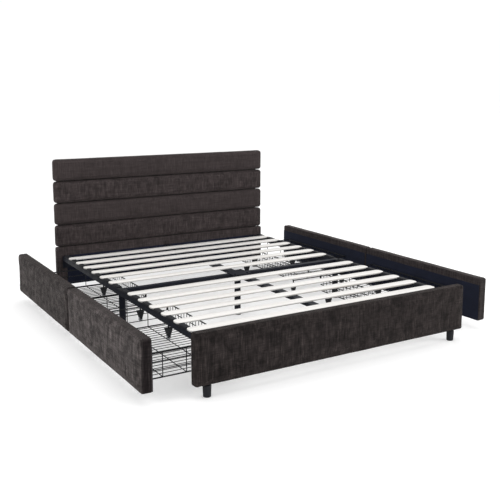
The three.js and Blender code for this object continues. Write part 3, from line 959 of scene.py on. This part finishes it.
SLAT_CORNER, CORNER_STEPS = 0.024, 8
SLAT_EDGE = 0.0019
# Clearances beside a slat and under it.
SLAT_GAP, STRIP_GAP = 0.002, 0.0004
# A gap wider than this has a block at each end, and a narrower one has a block all along it.
WIDE_GAP, BLOCK_LENGTH = 0.1, 0.0777
BLOCK_INSET, BLOCK_SINK, BLOCK_RISE = 0.002, 0.003, 0.0015
RIB_INSET, RIB_HALF, RIB_RISE = 0.0075, 0.018, 0.0026


def slat_outline(low, high):
    """The corners' arcs, once round the slat from its far right corner."""
    left, right = low.x + SLAT_CORNER, high.x - SLAT_CORNER
    near, far = low.y + SLAT_CORNER, high.y - SLAT_CORNER
    points = []
    for quarter, (x, y) in enumerate(((right, far), (left, far), (left, near), (right, near))):
        for i in range(CORNER_STEPS + 1):
            turn = math.radians(90 * (quarter + i / CORNER_STEPS))
            points.append((x + SLAT_CORNER * math.cos(turn), y + SLAT_CORNER * math.sin(turn)))
    return points


def build_slats():
    """One-piece slats with round corners and edges eased in two steps."""
    for node in SLATS:
        low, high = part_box(node)
        centre = (low + high) / 2
        rise = ((0, SLAT_EDGE), (0.3 * SLAT_EDGE, 0.3 * SLAT_EDGE), (SLAT_EDGE, 0))
        levels = [(low.z + up, inset) for up, inset in rise]
        levels += [(high.z - up, inset) for up, inset in reversed(rise)]
        bm = bmesh.new()
        rings = []
        for z, inset in levels:
            ring = []
            for x, y in slat_outline(low, high):
                lean = inset / math.sqrt(2)
                x -= math.copysign(lean, x - centre.x)
                y -= math.copysign(lean, y - centre.y)
                ring.append(bm.verts.new((x, y, z)))
            rings.append(ring)
        skin(bm, rings)
        show("bent_" + node, mesh_of(bm, node + "_look"), "frame", "wood", replaces=(node,), smooth=30)


def build_spacers():
    """On each rail a strip under the slats' ends, with a rounded block and its rib in every gap."""
    rows = sorted((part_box(node)[0].y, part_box(node)[1].y) for node in SLATS)
    slat_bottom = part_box(SLATS[0])[0].z
    for side in ("left", "right"):
        node = "slat_spacer_" + side
        low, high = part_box(node)
        starts = [low.y] + [end + SLAT_GAP for _, end in rows]
        ends = [start - SLAT_GAP for start, _ in rows] + [high.y]
        blocks = []
        for start, end in zip(starts, ends):
            if end - start > WIDE_GAP:
                blocks += [(start, start + BLOCK_LENGTH), (end - BLOCK_LENGTH, end)]
            else:
                blocks.append((start, end))

        bm = bmesh.new()
        slab(bm, low, (high.x, high.y, slat_bottom - STRIP_GAP), 0.001, 2)
        for start, end in blocks:
            block_low = (low.x + BLOCK_INSET, start, slat_bottom - BLOCK_SINK)
            block_high = (high.x - BLOCK_INSET, end, high.z + BLOCK_RISE)
            slab(bm, block_low, block_high, 0.0062, 4)
            middle = (start + end) / 2
            rib_low = (low.x + RIB_INSET, middle - RIB_HALF, slat_bottom)
            rib_high = (high.x - RIB_INSET, middle + RIB_HALF, high.z + RIB_RISE)
            slab(bm, rib_low, rib_high, 0.0020)
        mesh = mesh_of(bm, node + "_look")
        show("slat_holders_" + side, mesh, "frame", "plastic", replaces=(node,), smooth=35)


# ---------------------------------------------------------------- legs and steel

LEG_TAPER = 0.002
POST_RADIUS, POST_FOOT, COLLAR = 0.0195, 0.0085, 0.0016
SADDLE_HALF, SADDLE_PLATE = 0.0200, 0.004
SADDLE_BOLT_REACH, SADDLE_BOLT = 0.0275, 0.0048
# The rubber glide under a middle leg, as (radius, height).
GLIDE = (
    (0, 0), (0.0215, 0), (0.0232, 0.0012), (0.0234, 0.0045), (0.0222, 0.0090), (0.0204, 0.0106), (0, 0.0106)
)
PLATE_BOLT_REACH, PLATE_BOLT = 0.044, 0.0072
BRACKET_BOLT_REACHES, BRACKET_BOLT, BRACKET_BOLT_DROP = (0.045, 0.082), 0.0062, 0.0145
BRACKET_GAP, BRACKET_PLATE = 0.0003, 0.004
TUBE_EASE, PLATE_EASE = 0.0024, 0.0008


def build_corner_legs():
    """Four short tapered legs with a rounded foot and a chamfered top."""
    for end in ("headboard", "footboard"):
        for side in ("left", "right"):
            node = f"{end}_leg_{side}"
            low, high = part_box(node)
            wide = (high.x - low.x) / 2
            foot = wide - LEG_TAPER
            profile = [
                (0, 0),
                (foot - 0.003, 0),
                (foot - 0.0009, 0.0009),
                (foot, 0.003),
                (foot + 0.0003, 0.012),
                (wide - 0.0004, high.z - 0.004),
                (wide - 0.0012, high.z - 0.0009),
                (wide - 0.003, high.z),
                (0, high.z),
            ]
            bm = bmesh.new()
            lathe(bm, profile, ((low.x + high.x) / 2, (low.y + high.y) / 2, 0), segments=56)
            mesh = mesh_facing_out(bm, node + "_look")
            show(node + "_turned", mesh, "frame", "plastic", replaces=(node,), smooth=35)


def build_middle_legs():
    """Three tall posts, each with a saddle plate bolted to its beam and a rubber glide."""
    for side in ("left", "right", "centre"):
        node = "middle_leg_" + side
        low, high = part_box(node)
        x, y = (low.x + high.x) / 2, (low.y + high.y) / 2
        under = high.z - SADDLE_PLATE
        profile = [
            (0, POST_FOOT),
            (POST_RADIUS - 0.0006, POST_FOOT),
            (POST_RADIUS, POST_FOOT + 0.0015),
            (POST_RADIUS, under - 0.001),
            (POST_RADIUS + COLLAR, under - 0.0002),
            (0, under),
        ]
        bm = bmesh.new()
        lathe(bm, profile, (x, y, 0), segments=48)
        slab(bm, (x - SADDLE_HALF, low.y, under), (x + SADDLE_HALF, high.y, high.z), 0.0011, 2)
        for end in (-1, 1):
            bolt(bm, (x, y + end * SADDLE_BOLT_REACH, under - 0.0002), SADDLE_BOLT, out=-1)
        mesh = mesh_facing_out(bm, node + "_look")
        show(node + "_post", mesh, "frame", "steel", replaces=(node,), smooth=35)

        bm = bmesh.new()
        lathe(bm, GLIDE, (x, y, 0), segments=48)
        show(node + "_glide", mesh_facing_out(bm, node + "_glide"), "frame", "plastic", smooth=35)


def finish_steel():
    """The CAD's own tubes and plates, with their edges eased and their coat on."""
    tubes, plates = ("side_rail", "cross_beam", "centre_beam"), ("junction_plate", "corner_bracket")
    for node, piece in NODES.items():
        if not node.startswith(tubes + plates):
            continue
        piece.data.materials.clear()
        piece.data.materials.append(MATERIALS["steel"])
        bevel = piece.modifiers.new("eased_edges", "BEVEL")
        bevel.width = TUBE_EASE if node.startswith(tubes) else PLATE_EASE
        bevel.segments = 3
        bevel.limit_method = "ANGLE"
        bevel.angle_limit = math.radians(50)


def build_bolts():
    """Four bolts on the junction plate, and two through each corner bracket into its rail."""
    bm = bmesh.new()
    low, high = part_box("junction_plate")
    x, y = (low.x + high.x) / 2, (low.y + high.y) / 2
    for dx in (-PLATE_BOLT_REACH, PLATE_BOLT_REACH):
        for dy in (-PLATE_BOLT_REACH, PLATE_BOLT_REACH):
            bolt(bm, (x + dx, y + dy, high.z), PLATE_BOLT)

    bolt_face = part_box("side_rail_right")[0].x - BRACKET_GAP - BRACKET_PLATE
    for node in NODES:
        if not node.startswith("corner_bracket"):
            continue
        low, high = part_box(node)
        side = -1 if high.x < 0 else 1
        for reach in BRACKET_BOLT_REACHES:
            y = low.y + reach if high.y < 0 else high.y - reach
            place = (side * bolt_face, y, high.z - BRACKET_BOLT_DROP)
            bolt(bm, place, BRACKET_BOLT, "X", -side)
    show("frame_bolts", mesh_of(bm, "frame_bolts"), "frame", "steel", smooth=30)


build_channels()
build_lower_panel()
build_headboard_back()
build_footboard()
build_drawers()
build_slats()
build_spacers()
build_corner_legs()
build_middle_legs()
finish_steel()
build_bolts()

# ---------------------------------------------------------------- studio

WHITE = (1.0, 1.0, 1.0, 1.0)
FLOOR_DROP = 0.0006
BACKDROP, AMBIENT = 1.02, 0.93


def build_floor():
    """A wide sheet of pale paper, slightly lit from within so that it meets the backdrop."""
    bm = bmesh.new()
    bmesh.ops.create_grid(bm, x_segments=2, y_segments=2, size=60.0)
    floor = bpy.data.objects.new("floor", mesh_of(bm, "floor"))
    floor.location.z = -FLOOR_DROP
    bpy.context.scene.collection.objects.link(floor)
    paper = Shader(
        "floor_paper",
        Roughness=0.85,
        Specular_IOR_Level=0.1,
        Base_Color=(0.83, 0.83, 0.83, 1.0),
        Emission_Color=WHITE,
        Emission_Strength=0.25,
    )
    floor.data.materials.append(paper.material)


def build_world():
    """White all round, a little brighter where the camera sees it than where it lights the bed."""
    world = bpy.data.worlds.new("studio")
    bpy.context.scene.world = world
    world.use_nodes = True
    nodes, links = world.node_tree.nodes, world.node_tree.links
    seen, ambient = nodes["Background"], nodes.new("ShaderNodeBackground")
    for background, strength in ((seen, BACKDROP), (ambient, AMBIENT)):
        background.inputs["Color"].default_value = WHITE
        background.inputs["Strength"].default_value = strength
    choose = nodes.new("ShaderNodeMixShader")
    links.new(nodes.new("ShaderNodeLightPath").outputs["Is Camera Ray"], choose.inputs[0])
    links.new(ambient.outputs[0], choose.inputs[1])
    links.new(seen.outputs[0], choose.inputs[2])
    links.new(choose.outputs[0], nodes["World Output"].inputs["Surface"])


def softbox(name, place, target, size, power):
    data = bpy.data.lights.new(name, "AREA")
    data.shape = "RECTANGLE"
    data.size, data.size_y = size
    data.energy = power
    lamp = bpy.data.objects.new(name, data)
    lamp.location = place
    lamp.rotation_mode = "QUATERNION"
    lamp.rotation_quaternion = (Vector(target) - Vector(place)).to_track_quat("-Z", "Y")
    bpy.context.scene.collection.objects.link(lamp)


build_floor()
build_world()
softbox("top", place=(0.3, 0.2, 5.0), target=(0, 0, 0), size=(5.0, 5.0), power=55)
softbox("left", place=(-5.5, -0.8, 2.6), target=(-0.6, 0, 0.2), size=(3.5, 2.5), power=95)
softbox("right", place=(3.6, -3.4, 1.6), target=(0.9, -0.9, 0.2), size=(2.0, 1.5), power=80)
bpy.context.scene.view_settings.view_transform = "Standard"
